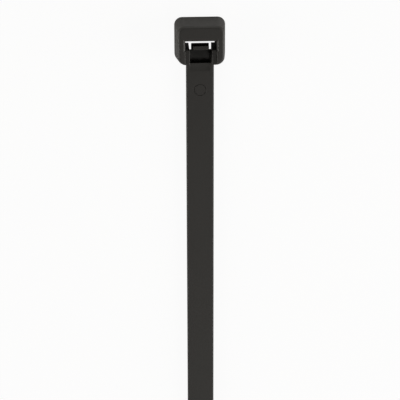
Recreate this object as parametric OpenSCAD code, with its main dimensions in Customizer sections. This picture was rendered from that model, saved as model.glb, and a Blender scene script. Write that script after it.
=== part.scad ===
// Self-locking cable tie, moulded in one piece: the head, its locking pawl, the toothed strap and the tail.
// It lies on its toothed side, with the smooth side and the exit face of the head up.
// The strap runs along Y, with the head at +Y, and X is across it.
// The origin is under the middle of the tie's outline, on the surface that it lies on.

/* [Strap] */
// Overall length, from the tip of the tail to the end of the head
total_l = 150; // [120:5:300]
// Width of the strap
strap_w = 4.8; // [4.0:0.1:7.6]
// Thickness of the strap over its rails
strap_t = 1.3; // [1.1:0.05:1.6]
// Bevel on the long edges of the smooth side
edge_bevel = 0.25; // [0.1:0.05:0.4]
// Bevel on the long edges of the toothed side
rail_bevel = 0.12; // [0.05:0.01:0.2]

/* [Teeth] */
// Distance from one tooth to the next, on the strap and on the pawl
tooth_pitch = 1.1; // [0.8:0.05:1.4]
// Depth of the valleys, from the face of the rails
tooth_depth = 0.45; // [0.3:0.05:0.55]
// How far the crests stay below the face of the rails
crest_inset = 0.05; // [0.02:0.01:0.1]
// Length of the flat on each crest
crest_l = 0.25; // [0.1:0.05:0.4]
// Length of the flat in each valley
valley_l = 0.12; // [0.05:0.01:0.2]
// Width of the plain rail on each side of the teeth
rail_w = 0.7; // [0.5:0.05:1.0]
// Plain length between the head and the first tooth
plain_l = 11; // [6:0.5:20]

/* [Tail] */
// Length of the toothless tail
tail_l = 25; // [18:1:40]
// Width of the tail at its tip
tip_w = 2.6; // [2.0:0.1:3.4]
// Thickness of the tail at its tip
tip_t = 0.9; // [0.7:0.05:1.1]
// Distance from one grip groove to the next
grip_pitch = 1.6; // [1.2:0.1:2.4]
// Depth of the grip grooves
grip_depth = 0.16; // [0.08:0.02:0.24]
// Length of the gripped stretch of the tail
grip_l = 13; // [6:1:16]
// Plain length between the tip and the first grip groove
grip_start = 3.2; // [2:0.2:5]

/* [Head] */
// Height of the head, from its entry face to its exit face
head_h = 5.5; // [5.0:0.1:6.6]
// Wall on each side of the slot, at the entry face
side_wall = 1.87; // [1.5:0.01:2.4]
// Wall between the slot and the end of the head, at the entry face
end_wall = 2.9; // [2.0:0.05:3.6]
// Length of the head behind the slot, at the entry face
back_l = 3.45; // [3.25:0.05:4.2]
// How much the head narrows on each side towards its exit face
side_draft = 0.42; // [0.2:0.02:0.6]
// How much its end leans in towards the exit face
end_draft = 0.3; // [0.1:0.01:0.5]
// How much its strap side leans in towards the exit face
back_draft = 0.99; // [0.4:0.01:1.2]
// Radius of the two corners at the end of the head, at the entry face
end_corner_r = 1.35; // [1.1:0.05:1.8]
// Radius of the two corners on the strap side, at the entry face
back_corner_r = 1.7; // [1.2:0.05:2.2]
// How much smaller the corner radii are at the exit face
corner_taper = 0.3; // [0.1:0.05:0.4]
// Rounding of the rim of the exit face
rim_r = 0.45; // [0.2:0.05:0.6]
// Bevel round the edge of the entry face
foot_bevel = 0.12; // [0.05:0.01:0.25]

/* [Slot] */
// Room beside the strap in the slot, on each side, at the entry face
side_clearance = 0.1; // [0.06:0.01:0.3]
// How much the slot widens on each side towards the exit face
slot_draft = 0.17; // [0.05:0.01:0.25]
// Room between the strap's full thickness and the slot's length
face_clearance = 0.36; // [0.2:0.02:0.5]
// Lead-in chamfer of the slot at the entry face
entry_chamfer = 0.4; // [0.2:0.05:0.6]
// Chamfer of the slot at the exit face
exit_chamfer = 0.3; // [0.15:0.05:0.4]

/* [Pawl] */
// Shoulder on each side of the slot that closes it behind the strap
shoulder_w = 0.57; // [0.35:0.01:0.8]
// Gap on each side of the pawl, at its root
pawl_gap = 0.43; // [0.3:0.01:0.8]
// How much the pawl narrows on each side towards its nose
pawl_taper = 0.14; // [0.05:0.01:0.25]
// How far the nose of the pawl stays below the exit face
pawl_drop = 0.8; // [0.5:0.05:1.2]
// Thickness of the pawl at its root
pawl_root_t = 0.8; // [0.6:0.05:0.9]
// Thickness of the pawl at its nose
pawl_nose_t = 0.66; // [0.5:0.02:0.8]
// How far the root of the pawl stands back from the slot
pawl_setback = 0.15; // [0.05:0.05:0.3]
// Lean of the pawl's row of teeth, in degrees
pawl_lean = 15; // [8:0.5:18]
// Bite of the pawl into the web of the strap when it is latched
pawl_bite = 0.06; // [0.02:0.02:0.12]
// Height of the nose above the last pawl tooth
nose_h = 1.2; // [0.9:0.05:1.4]
// Least height of the first pawl tooth above the entry face
root_h = 1.2; // [0.9:0.05:1.6]
// Thickness of the web that the pawl bends on
hinge_t = 0.35; // [0.25:0.05:0.5]
// Gap between the root of the pawl and that web's front edge, beside the pawl
hinge_gap = 0.22; // [0.1:0.01:0.4]

/* [Pawl channel] */
// Length of the channel behind the slot
channel_l = 3.3; // [2.6:0.05:3.4]
// Depth of the notch that joins the slot and the channel at the exit face
notch_depth = 0.5; // [0.3:0.05:0.8]
// Width of the shallow trough in the neck of the strap
trough_w = 3.6; // [2.4:0.1:3.8]
// Length of that trough
trough_l = 1.6; // [1.0:0.1:2.4]
// Depth of that trough
trough_depth = 0.14; // [0.06:0.02:0.24]

/* [Hidden] */
$fn = 32;

// How far a cut runs past the surface that it opens
past = 1;
// Thickness of the slices that a hull runs between
slice = 0.01;

// Slot and head, across, at the entry face
slot_w = strap_w + 2 * side_clearance;
head_w = slot_w + 2 * side_wall;
channel_w = slot_w - 2 * shoulder_w;
pawl_w = channel_w - 2 * pawl_gap;

// Head, along the strap
slot_l = strap_t + face_clearance;
head_end_y = total_l / 2;
slot_end_y = head_end_y - end_wall;
slot_back_y = slot_end_y - slot_l;
head_back_y = slot_back_y - back_l;
channel_back_y = slot_back_y - channel_l;

// Pawl: its teeth are set out from the slot, so that they mesh with the strap's
web_t = strap_t - tooth_depth;
pawl_h = head_h - pawl_drop;
pawl_reach = slot_l - web_t + pawl_bite;
pawl_tooth_depth = tooth_depth - crest_inset;
last_tooth_z = pawl_h - nose_h;
pawl_teeth = 1 + floor((last_tooth_z - root_h) / tooth_pitch);
pawl_back = pawl_setback + pawl_root_t;
hinge_edge = pawl_back + hinge_gap;

// Strap and tail
tip_y = -total_l / 2;
tail_start_y = tip_y + tail_l;
first_tooth_y = head_back_y - plain_l;
strap_teeth = floor((first_tooth_y - tail_start_y) / tooth_pitch);
track_w = strap_w - 2 * rail_w;
grips = floor(grip_l / grip_pitch);

// Height of the tail's upper face at y
function tail_top(y) = tip_t + (strap_t - tip_t) * (y - tip_y) / tail_l;

// Width of the slot at height z
function slot_width(z) = slot_w + 2 * slot_draft * z / head_h;

// Reach into the slot of a pawl tooth at height z
function tooth_reach(z) = pawl_reach - (last_tooth_z - z) * tan(pawl_lean);

// Extrudes a side view, drawn as [y, z], to a width that is centred on X
module across(width) {
    translate([-width / 2, 0, 0])
        rotate([90, 0, 90])
            linear_extrude(width)
                children();
}

// Cross-section of the strap, drawn as [x, z]
module strap_section() {
    polygon([
        [-strap_w / 2 + rail_bevel, 0],
        [strap_w / 2 - rail_bevel, 0],
        [strap_w / 2, rail_bevel],
        [strap_w / 2, strap_t - edge_bevel],
        [strap_w / 2 - edge_bevel, strap_t],
        [-strap_w / 2 + edge_bevel, strap_t],
        [-strap_w / 2, strap_t - edge_bevel],
        [-strap_w / 2, rail_bevel]
    ]);
}

// A length of the strap, from y0 to y1
module strap_run(y0, y1) {
    translate([0, y1, 0])
        rotate([90, 0, 0])
            linear_extrude(y1 - y0)
                strap_section();
}

// Tapered tail with a rounded tip
module tail() {
    r = tip_w / 2;
    hull() {
        strap_run(tail_start_y - slice, tail_start_y);
        translate([0, tip_y + r, 0]) {
            cylinder(r1 = r - rail_bevel, r2 = r, h = rail_bevel);
            translate([0, 0, tip_t - edge_bevel])
                cylinder(r1 = r, r2 = r - edge_bevel, h = edge_bevel);
        }
    }
}

// Grooves across both faces of the tail
module grip_grooves() {
    for (i = [0 : grips - 1]) {
        y = tip_y + grip_start + i * grip_pitch;
        across(strap_w + past)
            polygon([[y - grip_depth, 0], [y, grip_depth], [y + grip_depth, 0], [y, -past]]);
        across(strap_w + past)
            translate([0, tail_top(y)])
                polygon([[y - grip_depth, 0], [y, -grip_depth], [y + grip_depth, 0], [y, past]]);
    }
}

// Recess between the rails, whose roof is the row of teeth.
// Each tooth has a steep face towards the head and a ramp towards the tail.
module tooth_track() {
    across(track_w)
        polygon(concat(
            [[first_tooth_y, -past], [first_tooth_y, tooth_depth]],
            [for (i = [0 : strap_teeth - 1])
                let (y = first_tooth_y - valley_l - i * tooth_pitch)
                each [
                    [y, tooth_depth],
                    [y, crest_inset],
                    [y - crest_l, crest_inset],
                    [y - tooth_pitch + valley_l, tooth_depth]
                ]
            ],
            [[first_tooth_y - strap_teeth * tooth_pitch, -past]]
        ));
}

// Solid form of the head: drafted walls, round corners and a rounded exit rim
module head_form() {
    exit_z = head_h - rim_r;
    hull()
        for (side = [-1, 1]) {
            head_corner(side, head_end_y, -1, end_draft, end_corner_r, exit_z);
            head_corner(side, head_back_y, 1, back_draft, back_corner_r, exit_z);
        }
}

// One corner of the head: a disc at the entry face and a ring that rounds the exit rim
module head_corner(side, wall_y, inward, draft, r, exit_z) {
    exit_r = r - corner_taper;
    translate([side * (head_w / 2 - r), wall_y + inward * r, 0])
        cylinder(r1 = r - foot_bevel, r2 = r, h = foot_bevel);
    translate([side * (head_w / 2 - side_draft - exit_r), wall_y + inward * (draft + exit_r), exit_z])
        rotate_extrude()
            translate([exit_r - rim_r, 0])
                intersection() {
                    circle(rim_r);
                    translate([0, -rim_r])
                        square([rim_r, 2 * rim_r]);
                }
}

// Passage for the strap: its sides are drafted, with a lead-in at the entry face and a chamfer
// at the exit face
module slot() {
    exit_w = slot_width(head_h);
    translate([0, slot_end_y, 0])
        rotate([90, 0, 0])
            linear_extrude(slot_l)
                polygon([
                    [-slot_w / 2, -past],
                    [slot_w / 2, -past],
                    [slot_w / 2, 0],
                    [exit_w / 2, head_h],
                    [exit_w / 2, head_h + past],
                    [-exit_w / 2, head_h + past],
                    [-exit_w / 2, head_h],
                    [-slot_w / 2, 0]
                ]);
    slot_flare(0, 1, entry_chamfer);
    slot_flare(head_h, -1, exit_chamfer);
}

// Flare of the slot's two sides and its end wall at the face at height z, narrowing inwards.
// Its narrow end stays just inside the slot's walls.
module slot_flare(z, inward, chamfer) {
    wide = slot_width(z) + 2 * chamfer;
    narrow = slot_width(z + inward * chamfer) - 2 * slice;
    hull() {
        translate([-wide / 2, slot_back_y, z - slice / 2])
            cube([wide, slot_l + chamfer, slice]);
        translate([-narrow / 2, slot_back_y, z + inward * chamfer - slice / 2])
            cube([narrow, slot_l - slice, slice]);
    }
}

// Room for the pawl: a pit behind the slot, open to the exit face and, above the strap, to the neck
module pawl_channel() {
    translate([-channel_w / 2, channel_back_y, hinge_t])
        cube([channel_w, channel_l + past, head_h]);
    translate([-channel_w / 2, head_back_y - past, strap_t])
        cube([channel_w, back_l + 2 * past, head_h]);
    translate([-channel_w / 2, slot_back_y - hinge_edge, -past])
        cube([channel_w, hinge_edge + past, head_h]);
}

// Shallow notch, as wide as the slot, that lets the latched strap lie back towards the neck
module exit_notch() {
    notch_w = slot_width(head_h);
    translate([-notch_w / 2, head_back_y - past, head_h - notch_depth])
        cube([notch_w, past + back_l + slice, notch_depth + past]);
}

// Shallow trough in the strap's smooth side, just behind the pawl channel
module neck_trough() {
    translate([-trough_w / 2, channel_back_y - trough_l, strap_t - trough_depth])
        cube([trough_w, trough_l + past, trough_depth + past]);
}

// Side view of the pawl as [y, z], measured from the slot's back wall: it springs from the hinge
// web, leans into the slot and has ramps towards the entry face and steep faces towards the exit
module pawl_profile() {
    polygon(concat(
        [[-hinge_edge - hinge_t, 0], [-pawl_setback, 0]],
        [for (i = [pawl_teeth - 1 : -1 : 0])
            let (z = last_tooth_z - i * tooth_pitch, y = tooth_reach(z))
            each [[y, z], [y - pawl_tooth_depth, z + crest_inset]]
        ],
        [
            [pawl_reach - pawl_setback - crest_inset, pawl_h],
            [pawl_reach - pawl_setback - crest_inset - pawl_nose_t, pawl_h],
            [-pawl_back, 2 * hinge_t],
            [-pawl_back - hinge_t / 2, hinge_t],
            [-hinge_edge - hinge_t, hinge_t]
        ]
    ));
}

// Springing finger that locks the strap
module pawl() {
    intersection() {
        translate([0, slot_back_y, 0])
            across(pawl_w)
                pawl_profile();
        translate([0, slot_end_y, 0])
            rotate([90, 0, 0])
                linear_extrude(slot_l + channel_l)
                    polygon([
                        [-pawl_w / 2, 0],
                        [pawl_w / 2, 0],
                        [pawl_w / 2 - pawl_taper, pawl_h],
                        [-pawl_w / 2 + pawl_taper, pawl_h]
                    ]);
    }
}

// The whole tie, in weather-resistant black nylon
module cable_tie() {
    color("#2b2a29") {
        difference() {
            union() {
                head_form();
                strap_run(tail_start_y - slice, slot_back_y);
                tail();
            }
            slot();
            pawl_channel();
            exit_notch();
            neck_trough();
            tooth_track();
            grip_grooves();
        }
        pawl();
    }
}

cable_tie();
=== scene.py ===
# %% [markdown]
# # A one-piece nylon cable tie
# This lesson models and finishes a black cable tie around its CAD model, which is loaded as a
# fixed frame. The CAD model gives the true size and place of everything. Blender gives the looks:
# the soft edges of a moulding, the saw teeth, the springing pawl and a satin black nylon.

import math

import bmesh
import bpy
from mathutils import Matrix, Vector


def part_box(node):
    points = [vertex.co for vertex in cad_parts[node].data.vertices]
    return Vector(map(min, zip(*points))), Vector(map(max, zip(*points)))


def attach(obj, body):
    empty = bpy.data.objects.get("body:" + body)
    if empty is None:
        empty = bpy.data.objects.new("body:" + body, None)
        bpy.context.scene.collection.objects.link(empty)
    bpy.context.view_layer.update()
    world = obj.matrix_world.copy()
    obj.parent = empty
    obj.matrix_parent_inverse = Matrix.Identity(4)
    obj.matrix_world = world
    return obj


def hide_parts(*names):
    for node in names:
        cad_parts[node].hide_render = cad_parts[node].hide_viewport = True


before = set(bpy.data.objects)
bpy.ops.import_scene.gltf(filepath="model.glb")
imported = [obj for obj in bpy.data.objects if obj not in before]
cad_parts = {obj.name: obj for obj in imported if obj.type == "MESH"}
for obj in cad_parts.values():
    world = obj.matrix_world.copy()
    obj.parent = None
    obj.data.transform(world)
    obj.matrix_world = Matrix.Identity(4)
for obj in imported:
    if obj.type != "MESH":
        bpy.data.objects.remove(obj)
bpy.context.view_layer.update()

# %% [markdown]
# ## Working at bench scale
# A tie is small: its finest radius is a tenth of a millimetre. Blender's merge and bevel tools have
# fixed tolerances that suit furniture better than that, so the tie is modelled with one unit to
# the millimetre, and the finished mesh is brought down to metres in one step at the end.
# The overall sizes come from the frame. The others are the same named sizes as in the CAD model.

# %% Sizes, in millimetres
MM = 0.001
low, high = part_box("cable_tie")
TIP_Y = low[1] / MM
HEAD_END = high[1] / MM
HEAD_W = (high[0] - low[0]) / MM
HEAD_H = high[2] / MM

STRAP_W = 4.8
STRAP_T = 1.3
SIDE_CLEARANCE = 0.1
FACE_CLEARANCE = 0.36
END_WALL = 2.9
BACK_L = 3.45
SLOT_W = STRAP_W + 2 * SIDE_CLEARANCE
SLOT_L = STRAP_T + FACE_CLEARANCE
SLOT_END = HEAD_END - END_WALL
SLOT_BACK = SLOT_END - SLOT_L
HEAD_BACK = SLOT_BACK - BACK_L
print("head, mm:", round(HEAD_W, 2), "x", round(HEAD_END - HEAD_BACK, 2), "x", round(HEAD_H, 2))

# %% [markdown]
# ## Three hands for edit mode
# Modelling by hand is always the same three moves: add a block where it belongs, select some of
# it, and change what is selected. In a script the selecting is done by place and direction, so
# `pick` takes a test that says which vertices, edges or faces are wanted. A normal counts as facing
# an axis above FACING, and a point counts as lying in a plane within NEAR. A cutting tool stands
# out of the moulding by CLEAR, so that no face of it lies in a face of the moulding.

# %% Add, pick and cut
FACING = 0.9
NEAR = 0.01
CLEAR = 1


def select_none():
    """Leaves edit mode and selects nothing."""
    if bpy.context.object and bpy.context.object.mode != "OBJECT":
        bpy.ops.object.mode_set(mode="OBJECT")
    bpy.ops.object.select_all(action="DESELECT")


def only(piece):
    """Selects this piece alone and makes it active, in object mode."""
    select_none()
    piece.select_set(True)
    bpy.context.view_layer.objects.active = piece


def add_block(name, corner, opposite):
    """A cube primitive stretched between two corners."""
    select_none()
    corner, opposite = Vector(corner), Vector(opposite)
    bpy.ops.mesh.primitive_cube_add(size=1, location=(corner + opposite) / 2)
    block = bpy.context.active_object
    block.name = name
    block.scale = opposite - corner
    bpy.ops.object.transform_apply(location=True, rotation=True, scale=True)
    return block


def pick(piece, kind, wanted):
    """Opens the piece in edit mode with just the wanted vertices, edges or faces selected."""
    if bpy.context.object is not piece or piece.mode != "EDIT":
        only(piece)
        bpy.ops.object.mode_set(mode="EDIT")
    bpy.ops.mesh.select_mode(type=kind)
    bpy.ops.mesh.select_all(action="DESELECT")
    work = bmesh.from_edit_mesh(piece.data)
    work.normal_update()
    elements = {"VERT": work.verts, "EDGE": work.edges, "FACE": work.faces}[kind]
    found = [element for element in elements if wanted(element)]
    for element in found:
        element.select_set(True)
    bmesh.update_edit_mesh(piece.data)
    return len(found)


def middle(edge):
    """Middle point of an edge."""
    return (edge.verts[0].co + edge.verts[1].co) / 2


def upright(edge):
    """True for an edge that runs along Z, or nearly so."""
    run = edge.verts[0].co - edge.verts[1].co
    return abs(run.z) > FACING * run.length


def between(edge, lowest, highest):
    """True if both ends of an edge lie within a height band."""
    return all(lowest <= vert.co.z <= highest for vert in edge.verts)


def combine(piece, tool, operation):
    """Unites the tool with the piece or cuts it away, and throws the tool out."""
    only(piece)
    step = piece.modifiers.new(operation.lower(), "BOOLEAN")
    step.operation = operation
    step.solver = "EXACT"
    step.object = tool
    bpy.ops.object.modifier_apply(modifier=step.name)
    bpy.data.objects.remove(tool)


print("a normal faces an axis within", round(math.degrees(math.acos(FACING))), "degrees")

# %% [markdown]
# ## The head
# The head is a small box with drafted walls, so that it leaves its mould. It could be lofted
# between two outlines. A block does the same in fewer moves: its upright edges are rounded first,
# and then the top face is drawn in, which narrows the corner radii with it.

# %% Head blank
END_CORNER = 1.35
BACK_CORNER = 1.7
SIDE_DRAFT = 0.42
END_DRAFT = 0.3
BACK_DRAFT = 0.99
HEAD_L = HEAD_END - HEAD_BACK
HEAD_MID = (HEAD_END + HEAD_BACK) / 2

head = add_block("head", (-HEAD_W / 2, HEAD_BACK, 0), (HEAD_W / 2, HEAD_END, HEAD_H))
pick(head, "EDGE", lambda e: upright(e) and middle(e).y > HEAD_MID)
bpy.ops.mesh.bevel(offset=END_CORNER, segments=12, affect="EDGES")
pick(head, "EDGE", lambda e: upright(e) and middle(e).y < HEAD_BACK + NEAR)
bpy.ops.mesh.bevel(offset=BACK_CORNER, segments=12, affect="EDGES")

pick(head, "FACE", lambda f: f.normal.z > FACING)
drawn_in = (1 - 2 * SIDE_DRAFT / HEAD_W, 1 - (END_DRAFT + BACK_DRAFT) / HEAD_L, 1)
bpy.ops.transform.resize(value=drawn_in, center_override=(0, HEAD_MID, HEAD_H))
bpy.ops.transform.translate(value=(0, (BACK_DRAFT - END_DRAFT) / 2, 0))
print("head blank:", len(bmesh.from_edit_mesh(head.data).faces), "faces")

# %% [markdown]
# The rim of the exit face is a generous round that catches the light all the way round the head.
# The edge of the entry face, where the two halves of the mould met, is only just broken.

# %% Head rim and foot
RIM = 0.45
FOOT = 0.12

rim_edges = pick(head, "EDGE", lambda e: between(e, HEAD_H - NEAR, HEAD_H + NEAR))
bpy.ops.mesh.bevel(offset=RIM, segments=6, affect="EDGES")
foot_edges = pick(head, "EDGE", lambda e: between(e, -NEAR, NEAR))
bpy.ops.mesh.bevel(offset=FOOT, segments=3, affect="EDGES")
print("rounded", rim_edges, "edges of the rim and", foot_edges, "of the foot")

# %% [markdown]
# ## The strap and its tail
# The strap is a flat bar with softened long edges. The tail grows out of its end face: extruded,
# drawn in both ways, and rounded at the tip by bevelling its two upright corners until they
# nearly meet.

# %% Strap and tail
TAIL_L = 25
TIP_W = 2.6
TIP_FLAT = 0.2
TIP_T = 0.9
TAIL_START = TIP_Y + TAIL_L
STRAP_SUNK = 1.5
INSIDE_HEAD = HEAD_BACK + STRAP_SUNK

strap = add_block("strap", (-STRAP_W / 2, TAIL_START, 0), (STRAP_W / 2, INSIDE_HEAD, STRAP_T))
pick(strap, "FACE", lambda f: f.normal.y < -FACING)
bpy.ops.mesh.extrude_region_move(TRANSFORM_OT_translate={"value": (0, -TAIL_L, 0)})
bpy.ops.transform.resize(value=(TIP_W / STRAP_W, 1, TIP_T / STRAP_T), center_override=(0, TIP_Y, 0))
pick(strap, "EDGE", lambda e: upright(e) and middle(e).y < TIP_Y + NEAR)
bpy.ops.mesh.bevel(offset=(TIP_W - TIP_FLAT) / 2, segments=12, affect="EDGES")
print("the tail starts at y", round(TAIL_START, 2), "mm and ends at", round(TIP_Y, 2), "mm")

# %% Long edges of the strap
EDGE_ROUND = 0.25
RAIL_ROUND = 0.12


def outline(edge, sign):
    """True for an edge round the strap's upper or lower face, away from its buried end."""
    faces = [face.normal.z * sign > FACING for face in edge.link_faces]
    return any(faces) and not all(faces) and middle(edge).y < INSIDE_HEAD - NEAR


pick(strap, "EDGE", lambda e: outline(e, 1))
bpy.ops.mesh.bevel(offset=EDGE_ROUND, segments=4, affect="EDGES")
pick(strap, "EDGE", lambda e: outline(e, -1))
bpy.ops.mesh.bevel(offset=RAIL_ROUND, segments=2, affect="EDGES")
combine(head, strap, "UNION")
tie = head
tie.name = "tie_moulding"
print("head and strap:", len(tie.data.polygons), "faces")

# %% [markdown]
# ## Cutting the slot
# The slot is where the tail goes through. One block makes the cut. It is bisected at the level of
# the notch that comes later: above that it stays as wide as the notch, and below it the sides are
# drawn in, a draft that lets the core leave upwards. Its two ends are extruded and widened, which
# leaves a lead-in at the entry face and a chamfer at the exit face. The wall on the strap's side
# stays straight in both. Each flare is twice as long as its chamfer, so it ends outside the head.

# %% Slot
SLOT_DRAFT = 0.17
ENTRY_CHAMFER = 0.4
EXIT_CHAMFER = 0.3
NOTCH = 0.5
SLOT_EXIT_W = SLOT_W + 2 * SLOT_DRAFT


def flare(tool, sign, chamfer, width):
    """Extrudes one end of the slot tool at 45 degrees, on its two sides and its end wall."""
    reach = 2 * chamfer
    pick(tool, "FACE", lambda f: f.normal.z * sign > FACING)
    bpy.ops.mesh.extrude_region_move(TRANSFORM_OT_translate={"value": (0, 0, sign * reach)})
    wider = (1 + 2 * reach / width, 1 + reach / SLOT_L, 1)
    bpy.ops.transform.resize(value=wider, center_override=(0, SLOT_BACK, 0))


slot_tool = add_block("slot_tool", (-SLOT_EXIT_W / 2, SLOT_BACK, ENTRY_CHAMFER),
                      (SLOT_EXIT_W / 2, SLOT_END, HEAD_H - EXIT_CHAMFER))
pick(slot_tool, "FACE", lambda f: True)
bpy.ops.mesh.bisect(plane_co=(0, 0, HEAD_H - NOTCH), plane_no=(0, 0, 1))
pick(slot_tool, "FACE", lambda f: f.normal.z < -FACING)
lead_in_w = SLOT_W + 2 * SLOT_DRAFT * ENTRY_CHAMFER / HEAD_H
bpy.ops.transform.resize(value=(lead_in_w / SLOT_EXIT_W, 1, 1), center_override=(0, SLOT_BACK, 0))
flare(slot_tool, 1, EXIT_CHAMFER, SLOT_EXIT_W)
flare(slot_tool, -1, ENTRY_CHAMFER, lead_in_w)
combine(tie, slot_tool, "DIFFERENCE")
print("slot, mm:", round(lead_in_w, 2), "to", round(SLOT_EXIT_W, 2), "wide,", round(SLOT_L, 2), "long")

# %% [markdown]
# ## Room for the pawl
# Behind the slot the pawl needs room to spring back. The room is a pit that stays closed by a thin
# web at the entry face, and it is open towards the strap. Beside the pawl the web is cut away, so
# light shows through there. All of it is one tool: a block is bisected at the height of the strap
# and at the edge of the web, and then the part of its back above the strap is extruded out of the
# head, and the part of its floor in front of the web is extruded downwards. The web ends a little
# behind the pawl's foot, which stands on a tongue of its own there.

# %% Pit with its mouth and its gap
SHOULDER_W = 0.57
CHANNEL_L = 3.3
CHANNEL_W = SLOT_W - 2 * SHOULDER_W
CHANNEL_BACK = SLOT_BACK - CHANNEL_L
HINGE_T = 0.35
HINGE_GAP = 0.22
PAWL_SETBACK = 0.15
PAWL_ROOT_T = 0.8
HINGE_EDGE = PAWL_SETBACK + PAWL_ROOT_T + HINGE_GAP
PIT_OVERLAP = 0.4
ABOVE = HEAD_H + CLEAR

pit = add_block("pit", (-CHANNEL_W / 2, CHANNEL_BACK, HINGE_T),
                (CHANNEL_W / 2, SLOT_BACK + PIT_OVERLAP, ABOVE))
pick(pit, "FACE", lambda f: True)
bpy.ops.mesh.bisect(plane_co=(0, 0, STRAP_T), plane_no=(0, 0, 1))
pick(pit, "FACE", lambda f: True)
bpy.ops.mesh.bisect(plane_co=(0, SLOT_BACK - HINGE_EDGE, 0), plane_no=(0, 1, 0))
pick(pit, "FACE", lambda f: f.normal.y < -FACING and f.calc_center_median().z > STRAP_T)
bpy.ops.mesh.extrude_region_move(TRANSFORM_OT_translate={"value": (0, -CLEAR, 0)})
pick(pit, "FACE", lambda f: f.normal.z < -FACING and f.calc_center_median().y > SLOT_BACK - HINGE_EDGE)
bpy.ops.mesh.extrude_region_move(TRANSFORM_OT_translate={"value": (0, 0, -CLEAR)})
combine(tie, pit, "DIFFERENCE")
print("with the pit:", len(tie.data.polygons), "faces")

# %% [markdown]
# A shallow notch across the exit face lets the strap lie back when the tie is pulled tight, and a
# shallow trough in the strap leads its tail out over the neck. The trough's walls slope, so its
# block is drawn in at the bottom.

# %% Notch and trough
TROUGH_W = 3.6
TROUGH_L = 1.6
TROUGH_DEPTH = 0.14
TROUGH_SLOPE = 1.6 * TROUGH_DEPTH
NOTCH_OVERLAP = 0.2
TROUGH_OVERLAP = 0.4
TROUGH_TOP = 0.5

notch = add_block("notch", (-SLOT_EXIT_W / 2, HEAD_BACK - CLEAR, HEAD_H - NOTCH),
                  (SLOT_EXIT_W / 2, SLOT_BACK + NOTCH_OVERLAP, ABOVE))
combine(tie, notch, "DIFFERENCE")

trough_start = CHANNEL_BACK - TROUGH_L
trough_end = CHANNEL_BACK + TROUGH_OVERLAP
trough = add_block("trough", (-TROUGH_W / 2, trough_start, STRAP_T - TROUGH_DEPTH),
                   (TROUGH_W / 2, trough_end, STRAP_T))
pick(trough, "FACE", lambda f: f.normal.z < -FACING)
drawn_in = (1 - 2 * TROUGH_SLOPE / TROUGH_W, 1 - TROUGH_SLOPE / (trough_end - trough_start), 1)
bpy.ops.transform.resize(value=drawn_in, center_override=(0, trough_end, 0))
pick(trough, "FACE", lambda f: f.normal.z > FACING)
bpy.ops.mesh.extrude_region_move(TRANSFORM_OT_translate={"value": (0, 0, TROUGH_TOP)})
combine(tie, trough, "DIFFERENCE")
print("with the notch and the trough:", len(tie.data.polygons), "faces")

# %% [markdown]
# ## Soft edges
# No edge of a moulding is sharp. The outer corners left by the cuts are found by the angle between
# their faces and get a radius of a tenth of a millimetre, which is what draws the fine bright
# lines round the slot. Bevel needs room for its radius on both sides of an edge, so the edges of
# the rim that run close beside the notch are dissolved first. Vertices that are almost on top of one
# another, left by the cuts and by the rounding itself where it runs out at the neck, are merged.

# %% Round the cut edges
CUT_ROUND = 0.09
SHARP = math.radians(38)
ROOM = 0.16
SAME_PLACE = 0.008
NECK_L = 3
NECK_END = HEAD_BACK + 0.5


def crowds_notch(edge):
    """True for an edge of the rim that leaves no room beside one of the notch's walls."""
    return all(vert.co.z > HEAD_H - NOTCH + NEAR and vert.co.y < HEAD_MID
               and NEAR < abs(vert.co.x) - SLOT_EXIT_W / 2 < ROOM for vert in edge.verts)


def merge_close():
    """Merges vertices of the head and the neck that are almost on top of one another."""
    pick(tie, "VERT", lambda v: v.co.y > HEAD_BACK - NECK_L)
    bpy.ops.mesh.remove_doubles(threshold=SAME_PLACE)


def cut_edge(edge):
    """True for a sharp outer corner of the head or of the pit's lip, apart from the head's foot."""
    if not edge.is_manifold or not edge.is_convex or edge.calc_face_angle(0) < SHARP:
        return False
    centre = middle(edge)
    neck = centre.z < STRAP_T + NEAR and CHANNEL_BACK + NEAR < centre.y < NECK_END
    return centre.y > CHANNEL_BACK - NEAR and not neck


dissolved = pick(tie, "EDGE", crowds_notch)
bpy.ops.mesh.dissolve_edges(use_verts=True)
merge_close()
rounded = pick(tie, "EDGE", cut_edge)
bpy.ops.mesh.bevel(offset=CUT_ROUND, segments=3, affect="EDGES", clamp_overlap=False)
merge_close()
print("dissolved", dissolved, "edges of the rim and rounded", rounded, "edges of the cuts")

# %% [markdown]
# ## The pawl
# The pawl is a springing finger with teeth that match the strap's. It starts as an upright block.
# Bisecting it level by level gives rows of vertices, and each row is slid to its place: the back
# leans into the slot, and the front steps out in ramps and back in steep faces.

# %% Pawl sizes
PITCH = 1.1
TOOTH_DEPTH = 0.45
CREST_INSET = 0.05
PAWL_GAP = 0.43
PAWL_TAPER = 0.14
PAWL_DROP = 0.8
PAWL_W = CHANNEL_W - 2 * PAWL_GAP
PAWL_H = HEAD_H - PAWL_DROP
PAWL_NOSE_T = 0.66
PAWL_BITE = 0.06
PAWL_REACH = SLOT_L - (STRAP_T - TOOTH_DEPTH) + PAWL_BITE
NOSE_FRONT = PAWL_REACH - PAWL_SETBACK - CREST_INSET
LEAN = math.tan(math.radians(15))
NOSE_H = 1.2
PAWL_TEETH = 3
LAST_TOOTH = PAWL_H - NOSE_H
FIRST_TOOTH = LAST_TOOTH - (PAWL_TEETH - 1) * PITCH
FOOT_H = 2 * HINGE_T


def on_line(z, z0, y0, z1, y1):
    """The y at height z on the straight line through two points of the side view."""
    return y0 + (y1 - y0) * (z - z0) / (z1 - z0)


def pawl_back(z):
    """The pawl's back at height z: a small foot on the web, and then a straight lean."""
    root = -PAWL_SETBACK - PAWL_ROOT_T
    if z <= HINGE_T:
        return root - HINGE_T / 2
    return on_line(z, FOOT_H, root, PAWL_H, NOSE_FRONT - PAWL_NOSE_T)


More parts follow.
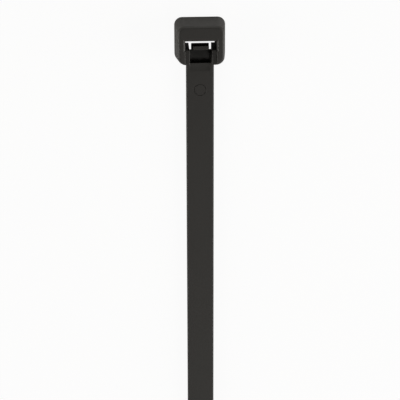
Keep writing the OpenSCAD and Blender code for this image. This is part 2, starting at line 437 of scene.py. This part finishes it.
first_reach = PAWL_REACH - (PAWL_TEETH - 1) * PITCH * LEAN
pawl_front = {z: on_line(z, 0, -PAWL_SETBACK, FIRST_TOOTH, first_reach) for z in (0, HINGE_T, FOOT_H)}
for tooth in range(PAWL_TEETH):
    crest_y = PAWL_REACH - tooth * PITCH * LEAN
    pawl_front[LAST_TOOTH - tooth * PITCH] = crest_y
    pawl_front[LAST_TOOTH - tooth * PITCH + CREST_INSET] = crest_y - (TOOTH_DEPTH - CREST_INSET)
pawl_front[PAWL_H] = NOSE_FRONT
print("pawl rows, mm:", {round(z, 2): round(y, 2) for z, y in sorted(pawl_front.items())})

# %% Pawl
BLOCK_T = 2
ON_LEVEL = 0.001

pawl = add_block("pawl", (-PAWL_W / 2, SLOT_BACK - BLOCK_T, 0), (PAWL_W / 2, SLOT_BACK, PAWL_H))
levels = sorted(pawl_front)
for z in levels[1:-1]:
    pick(pawl, "FACE", lambda f: True)
    bpy.ops.mesh.bisect(plane_co=(0, 0, z), plane_no=(0, 0, 1))

for z in levels:
    pick(pawl, "VERT", lambda v: abs(v.co.z - z) < ON_LEVEL)
    narrower = 1 - 2 * PAWL_TAPER / PAWL_W * z / PAWL_H
    bpy.ops.transform.resize(value=(narrower, 1, 1), center_override=(0, SLOT_BACK, z))
    pick(pawl, "VERT", lambda v: abs(v.co.z - z) < ON_LEVEL and v.co.y > SLOT_BACK - BLOCK_T / 2)
    bpy.ops.transform.translate(value=(0, pawl_front[z], 0))
    pick(pawl, "VERT", lambda v: abs(v.co.z - z) < ON_LEVEL and v.co.y < SLOT_BACK - BLOCK_T + NEAR)
    bpy.ops.transform.translate(value=(0, pawl_back(z) + BLOCK_T, 0))
print("pawl:", len(levels), "levels, reaching", round(PAWL_REACH, 2), "mm into the slot")

# %% [markdown]
# The pawl's own corners are rounded before it is set in. Then the lowest part of its back is
# extruded into the web that carries it, so that the two grow into one solid where they meet. The
# end of this tongue is drawn in, so that it lies wholly inside the web.

# %% Round the pawl and set it in
PAWL_ROUND = 0.05
TONGUE_END = (0.98, 1, 0.7)

pick(pawl, "EDGE", lambda e: e.is_convex and e.calc_face_angle(0) > SHARP and middle(e).z > HINGE_T + NEAR)
bpy.ops.mesh.bevel(offset=PAWL_ROUND, segments=2, affect="EDGES", clamp_overlap=False)
pick(pawl, "FACE", lambda f: f.normal.y < -FACING and f.calc_center_median().z < HINGE_T)
tongue = HINGE_EDGE + HINGE_T + pawl_back(0)
bpy.ops.mesh.extrude_region_move(TRANSFORM_OT_translate={"value": (0, -tongue, 0)})
bpy.ops.transform.resize(value=TONGUE_END, center_override=(0, 0, HINGE_T / 2))
combine(tie, pawl, "UNION")
print("with the pawl:", len(tie.data.polygons), "faces")

# %% [markdown]
# ## The teeth of the strap
# The toothed side is underneath. One tooth is drawn as a ribbon, edge by edge: a valley, a steep
# face, a flat crest and a ramp. An array repeats it along the strap, from the plain neck to the
# tail. Drawn down into a block, the ribbon becomes the tool that cuts the whole track at once.

# %% One tooth
CREST_L = 0.25
VALLEY_L = 0.12
STEEP_LEAN = 0.03
RAIL_W = 0.7
TRACK_W = STRAP_W - 2 * RAIL_W
PLAIN_L = 11
FIRST_TOOTH_Y = HEAD_BACK - PLAIN_L
TOOTH_COUNT = math.floor((FIRST_TOOTH_Y - TAIL_START + ON_LEVEL) / PITCH)
RISE = TOOTH_DEPTH - CREST_INSET

select_none()
bpy.ops.mesh.primitive_plane_add(size=1, location=(0, FIRST_TOOTH_Y - VALLEY_L / 2, TOOTH_DEPTH))
track = bpy.context.active_object
track.name = "track_tool"
track.scale = (TRACK_W, VALLEY_L, 1)
bpy.ops.object.transform_apply(location=True, rotation=True, scale=True)
pick(track, "EDGE", lambda e: middle(e).y < FIRST_TOOTH_Y - VALLEY_L + ON_LEVEL)
ramp_l = PITCH - VALLEY_L - CREST_L - STEEP_LEAN
for step in ((0, -STEEP_LEAN, -RISE), (0, -CREST_L, 0), (0, -ramp_l, RISE)):
    bpy.ops.mesh.extrude_region_move(TRANSFORM_OT_translate={"value": step})
print(TOOTH_COUNT, "teeth,", PITCH, "mm apart")

# %% The whole track
TOOTH_ROUND = 0.035

only(track)
repeat = track.modifiers.new("teeth", "ARRAY")
repeat.count = TOOTH_COUNT
repeat.use_relative_offset = False
repeat.use_constant_offset = True
repeat.constant_offset_displace = (0, -PITCH, 0)
repeat.use_merge_vertices = True
repeat.merge_threshold = ON_LEVEL
bpy.ops.object.modifier_apply(modifier=repeat.name)
pick(track, "EDGE", lambda e: e.is_manifold)
bpy.ops.mesh.bevel(offset=TOOTH_ROUND, segments=2, affect="EDGES", clamp_overlap=False)
bpy.ops.mesh.select_all(action="SELECT")
bpy.ops.mesh.extrude_region_move(TRANSFORM_OT_translate={"value": (0, 0, -2 * CLEAR)})
bpy.ops.transform.resize(value=(1, 1, 0), center_override=(0, 0, -CLEAR))
bpy.ops.mesh.select_all(action="SELECT")
bpy.ops.mesh.normals_make_consistent(inside=False)
combine(tie, track, "DIFFERENCE")
print("with the track:", len(tie.data.polygons), "faces")

# %% [markdown]
# ## Grip grooves on the tail
# A wet or greasy thumb slips on plain nylon, so the tail is scored across. A thin rod laid across
# the tail, sunk a little into the face, cuts each groove. The rods stand clear of one another, so
# they are joined and cut together.

# %% Grip grooves
GRIP_PITCH = 1.6
GRIP_COUNT = 8
GRIP_END_L = 3.2
GRIP_START = TIP_Y + GRIP_END_L
GRIP_R = 0.3
GRIP_DEPTH = 0.14

rods = []
for index in range(GRIP_COUNT):
    y = GRIP_START + index * GRIP_PITCH
    top = TIP_T + (STRAP_T - TIP_T) * (y - TIP_Y) / TAIL_L
    for z in (-GRIP_R + GRIP_DEPTH, top + GRIP_R - GRIP_DEPTH):
        bpy.ops.mesh.primitive_cylinder_add(vertices=24, radius=GRIP_R, depth=STRAP_W + CLEAR,
                                            location=(0, y, z), rotation=(0, math.radians(90), 0))
        rods.append(bpy.context.active_object)
select_none()
for rod in rods:
    rod.select_set(True)
bpy.context.view_layer.objects.active = rods[0]
bpy.ops.object.join()
bpy.ops.object.transform_apply(location=True, rotation=True, scale=True)
combine(tie, rods[0], "DIFFERENCE")
print("with the grip:", len(tie.data.polygons), "faces")

# %% [markdown]
# ## The ejector's ring
# The pin that pushes the moulding out of its tool leaves a fine ring on the smooth face, just below
# the head. A slender torus, laid level with the face, cuts it half its own thickness deep.

# %% Ejector ring
RING_FROM_HEAD = 4.69
RING_Y = HEAD_BACK - RING_FROM_HEAD
RING_D = 2.0
RING_LINE = 0.13

select_none()
bpy.ops.mesh.primitive_torus_add(location=(0, RING_Y, STRAP_T), major_radius=RING_D / 2,
                                 minor_radius=RING_LINE / 2, major_segments=64, minor_segments=12)
combine(tie, bpy.context.active_object, "DIFFERENCE")
print("with the ring:", len(tie.data.polygons), "faces")

# %% [markdown]
# ## Back to metres
# The moulding is finished as a mesh: it is brought down to metres, shaded smooth wherever the
# faces meet at a small angle, and its normals are weighted by face area, which keeps the large
# flats flat right up to their rounded edges.

# %% Scale down and shade
SMOOTH_BELOW = math.radians(40)

only(tie)
tie.scale = (MM, MM, MM)
bpy.ops.object.transform_apply(location=True, rotation=True, scale=True)
bpy.ops.object.shade_smooth_by_angle(angle=SMOOTH_BELOW)
weigh = tie.modifiers.new("weigh", "WEIGHTED_NORMAL")
weigh.keep_sharp = True
weigh.weight = 100
bpy.ops.object.modifier_apply(modifier=weigh.name)

check = bmesh.new()
check.from_mesh(tie.data)
loose = sum(1 for edge in check.edges if not edge.is_manifold)
print("finished:", len(check.faces), "faces,", loose, "open edges, volume",
      round(check.calc_volume() / MM ** 3, 1), "mm3")
check.free()

# %% [markdown]
# ## Black nylon
# The tie is nylon 6/6 with carbon black in it, which keeps sunlight out. Moulded against a finely
# eroded steel, it is satin: dark all through, with soft, wide highlights. The colour is close to
# black but never quite black, and slightly warm.

# %% Colour and node helpers
def linear(hex_colour):
    """Linear RGBA of an sRGB hex colour."""
    channels = [int(hex_colour[i:i + 2], 16) / 255 for i in (1, 3, 5)]
    curve = [c / 12.92 if c <= 0.04045 else ((c + 0.055) / 1.055) ** 2.4 for c in channels]
    return (*curve, 1.0)


WHITE = linear("#ffffff")


def add_node(tree, kind, settings=None, values=None, links=None):
    """A shader node with its settings, its input values and the sockets linked to its inputs."""
    node = tree.nodes.new(kind)
    for key, value in (settings or {}).items():
        setattr(node, key, value)
    for key, value in (values or {}).items():
        node.inputs[key].default_value = value
    for key, socket in (links or {}).items():
        tree.links.new(socket, node.inputs[key])
    return node


def new_material(name):
    """An empty node material and its output node."""
    material = bpy.data.materials.new(name)
    material.use_nodes = True
    material.node_tree.nodes.clear()
    return material, material.node_tree.nodes.new("ShaderNodeOutputMaterial")


print("white, linear:", [round(channel, 3) for channel in WHITE])

# %% [markdown]
# A fine noise stands for the grain of the mould. It varies the roughness and lifts the surface by
# a few micrometres. It is drawn about four times coarser than the real grain, so that it still
# shows in a close view. A broader noise lets the tone drift a little from place to place.

# %% Satin black nylon
GRAIN = 0.25 * MM
GRAIN_HEIGHT = 0.02 * MM
GRAIN_STRENGTH = 0.15
CLOUD = 4 * MM
NYLON_IOR = 1.53
NYLON_SHINE = 0.4
ROUGHNESS = (0.54, 0.66)

nylon, output = new_material("black_nylon")
tree = nylon.node_tree
place = add_node(tree, "ShaderNodeTexCoord").outputs["Object"]

grain = add_node(tree, "ShaderNodeTexNoise", values={"Scale": 1 / GRAIN, "Detail": 3.0},
                 links={"Vector": place})
cloud = add_node(tree, "ShaderNodeTexNoise", values={"Scale": 1 / CLOUD, "Detail": 2.0},
                 links={"Vector": place})
tone = add_node(tree, "ShaderNodeMix", {"data_type": "RGBA"},
                {"A": linear("#1a1816"), "B": linear("#1e1c1a")}, {"Factor": cloud.outputs["Fac"]})
satin = add_node(tree, "ShaderNodeMapRange", values={"To Min": ROUGHNESS[0], "To Max": ROUGHNESS[1]},
                 links={"Value": grain.outputs["Fac"]})
bump = add_node(tree, "ShaderNodeBump", values={"Strength": GRAIN_STRENGTH, "Distance": GRAIN_HEIGHT},
                links={"Height": grain.outputs["Fac"]})
shader = add_node(tree, "ShaderNodeBsdfPrincipled",
                  values={"IOR": NYLON_IOR, "Specular IOR Level": NYLON_SHINE},
                  links={"Base Color": tone.outputs["Result"], "Roughness": satin.outputs["Result"],
                         "Normal": bump.outputs["Normal"]})
tree.links.new(shader.outputs["BSDF"], output.inputs["Surface"])

tie.data.materials.clear()
tie.data.materials.append(nylon)
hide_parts("cable_tie")
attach(tie, "root")
print("black nylon on", tie.name, "with", len(tree.nodes), "nodes")

# %% [markdown]
# ## The table, the light and the camera
# The tie lies on pale paper. To the camera the paper answers almost with plain white, which leaves
# only a trace of the tie's shadow. Reflections get a smaller part of that plain white and see more
# of the paper as it is lit, with the shadow at the foot of the head.

# %% Table
WHITE_TO_CAMERA = 0.93
WHITE_TO_MIRRORS = 0.1
TABLE_W = 6

table_finish, output = new_material("pale_paper")
tree = table_finish.node_tree
ray = add_node(tree, "ShaderNodeLightPath")
mirrored = add_node(tree, "ShaderNodeMath", {"operation": "MAXIMUM"},
                    links={0: ray.outputs["Is Glossy Ray"], 1: ray.outputs["Is Transmission Ray"]})
to_mirrors = add_node(tree, "ShaderNodeMath", {"operation": "MULTIPLY"}, {1: WHITE_TO_MIRRORS},
                      {0: mirrored.outputs[0]})
share = add_node(tree, "ShaderNodeMath", {"operation": "MULTIPLY_ADD"}, {1: WHITE_TO_CAMERA},
                 {0: ray.outputs["Is Camera Ray"], 2: to_mirrors.outputs[0]})
paper = add_node(tree, "ShaderNodeBsdfDiffuse", values={"Color": linear("#dcdcdc")})
white = add_node(tree, "ShaderNodeEmission", values={"Color": WHITE, "Strength": 1.0})
blend = add_node(tree, "ShaderNodeMixShader",
                 links={0: share.outputs[0], 1: paper.outputs[0], 2: white.outputs[0]})
tree.links.new(blend.outputs[0], output.inputs["Surface"])

select_none()
bpy.ops.mesh.primitive_plane_add(size=TABLE_W, location=(0, 0, 0))
table = bpy.context.active_object
table.name = "table"
table.data.materials.append(table_finish)
print("the table is", round(table.dimensions.x, 1), "m wide")

# %% [markdown]
# Far round the table stand white studio walls, and the ceiling is dark. The world makes both: it is
# white at the horizon and falls off to a dim grey a little above it. The rounded rim of the head
# faces the walls and catches their light, and the bottom of the pawl's pit faces the ceiling.

# %% Studio walls
WALL_LEVEL = 0.95
CEILING_LEVEL = 0.04
WALL_TOP = 0.4
LIGHT_TONE = linear("#fffdf8")

world = bpy.data.worlds.new("studio")
bpy.context.scene.world = world
world.use_nodes = True
tree = world.node_tree
tree.nodes.clear()
direction = add_node(tree, "ShaderNodeTexCoord").outputs["Generated"]
height = add_node(tree, "ShaderNodeSeparateXYZ", links={0: direction}).outputs["Z"]
level = add_node(tree, "ShaderNodeMapRange",
                 values={"From Max": WALL_TOP, "To Min": WALL_LEVEL, "To Max": CEILING_LEVEL},
                 links={"Value": height})
room = add_node(tree, "ShaderNodeBackground", values={"Color": LIGHT_TONE},
                links={"Strength": level.outputs["Result"]})
tree.links.new(room.outputs[0], add_node(tree, "ShaderNodeOutputWorld").inputs["Surface"])
print("the walls reach", round(math.degrees(math.asin(WALL_TOP))), "degrees above the table")

# %% [markdown]
# Four softboxes do the rest. The key stands high over the strap, to its right, and lights the flat
# faces, while the bottom of the pit stays in shadow. Three stand low round the head and draw a line
# of light along its rim: one on the left, a brighter one on the right and a weak one behind.

# %% Lamps
LIT_PLACE = Vector((0, 0.05, 0))


def add_lamp(name, place, size, watts):
    """A square softbox that faces the strap close to the head, in metres and watts."""
    bpy.ops.object.light_add(type="AREA", location=place)
    lamp = bpy.context.active_object
    lamp.name = name
    lamp.data.size = size
    lamp.data.energy = watts
    lamp.data.color = LIGHT_TONE[:3]
    aim = LIT_PLACE - Vector(place)
    lamp.rotation_euler = aim.to_track_quat("-Z", "Y").to_euler()
    print(name, "softbox,", round(aim.length, 2), "m away")


add_lamp("key", (0.14, -0.28, 0.42), 0.2, 0.75)
add_lamp("left", (-0.45, 0, 0.15), 0.3, 1.9)
add_lamp("right", (0.45, 0, 0.15), 0.3, 2.6)
add_lamp("back", (0, 0.55, 0.15), 0.3, 0.9)

# %% [markdown]
# The camera looks down on the tie from a little beyond its head and from its left, with a long
# lens. Its tilt was worked out from how much the strap narrows down the picture, and its place
# from the sizes of the head and the slot.

# %% Camera
AIM = Vector((0, 41.23, 0)) * MM
DISTANCE = 273.1 * MM
TILT = math.radians(22.0)
SIDEWAYS = math.radians(-2.56)
ROLL = math.radians(-0.12)
SENSOR_W = 36
LENS = 137.35
NEAREST = 0.01

towards = Vector((math.sin(SIDEWAYS),
                  math.sin(TILT) * math.cos(SIDEWAYS),
                  math.cos(TILT) * math.cos(SIDEWAYS)))
right = Vector((0, 1, 0)).cross(towards).normalized()
facing = Matrix((right, towards.cross(right), towards)).transposed()
bpy.ops.object.camera_add(location=AIM + DISTANCE * towards)
camera = bpy.context.active_object
camera.rotation_euler = (facing @ Matrix.Rotation(ROLL, 3, "Z")).to_euler()
camera.data.sensor_width = SENSOR_W
camera.data.lens = LENS
camera.data.clip_start = NEAREST
bpy.context.scene.camera = camera
bpy.context.scene.view_settings.view_transform = "Standard"
print("camera at", [round(v, 3) for v in camera.location], "m")
